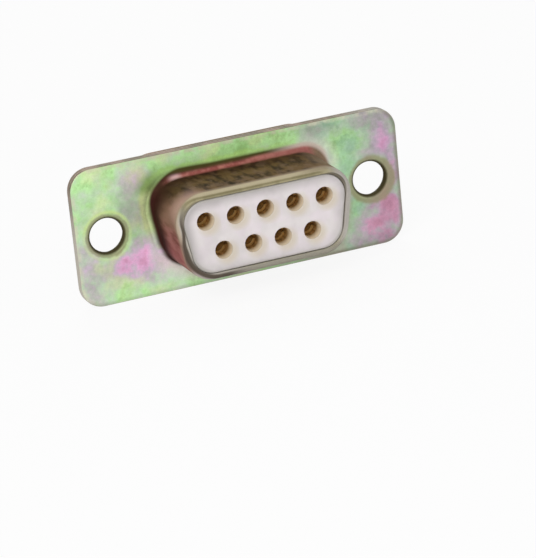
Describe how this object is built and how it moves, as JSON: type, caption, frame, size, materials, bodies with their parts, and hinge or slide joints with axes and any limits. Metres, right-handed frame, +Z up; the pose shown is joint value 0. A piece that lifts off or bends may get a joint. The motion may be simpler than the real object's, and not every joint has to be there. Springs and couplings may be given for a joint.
{
  "type": "d-sub connector",
  "caption": "D-shaped socket connector with a two-shell chromated steel flange, white insulator and hooded crimp contacts, for fixing in a panel.",
  "frame": {"origin": "middle of the flange's front face", "axes": "-Y out of the mating face, +X along the flange, +Z up towards the longer row of contacts"},
  "size_m": [0.0308, 0.0136, 0.0126],
  "materials": {
    "shell": "iridescent yellow chromate over zinc",
    "insulator": "moulded, satin",
    "contact": "gold plated, with colour bands on the crimp barrel",
    "hood": "plain drawn sleeve"
  },
  "bodies": {
    "root": {"front_shell": "shell", "rear_shell": "shell", "front_insulator": "insulator", "rear_insulator": "insulator", "contact_1": "contact", "contact_2": "contact", "contact_3": "contact", "contact_4": "contact", "contact_5": "contact", "contact_6": "contact", "contact_7": "contact", "contact_8": "contact", "contact_9": "contact", "contact_hood_1": "hood", "contact_hood_2": "hood", "contact_hood_3": "hood", "contact_hood_4": "hood", "contact_hood_5": "hood", "contact_hood_6": "hood", "contact_hood_7": "hood", "contact_hood_8": "hood", "contact_hood_9": "hood"}
  },
  "joints": []
}
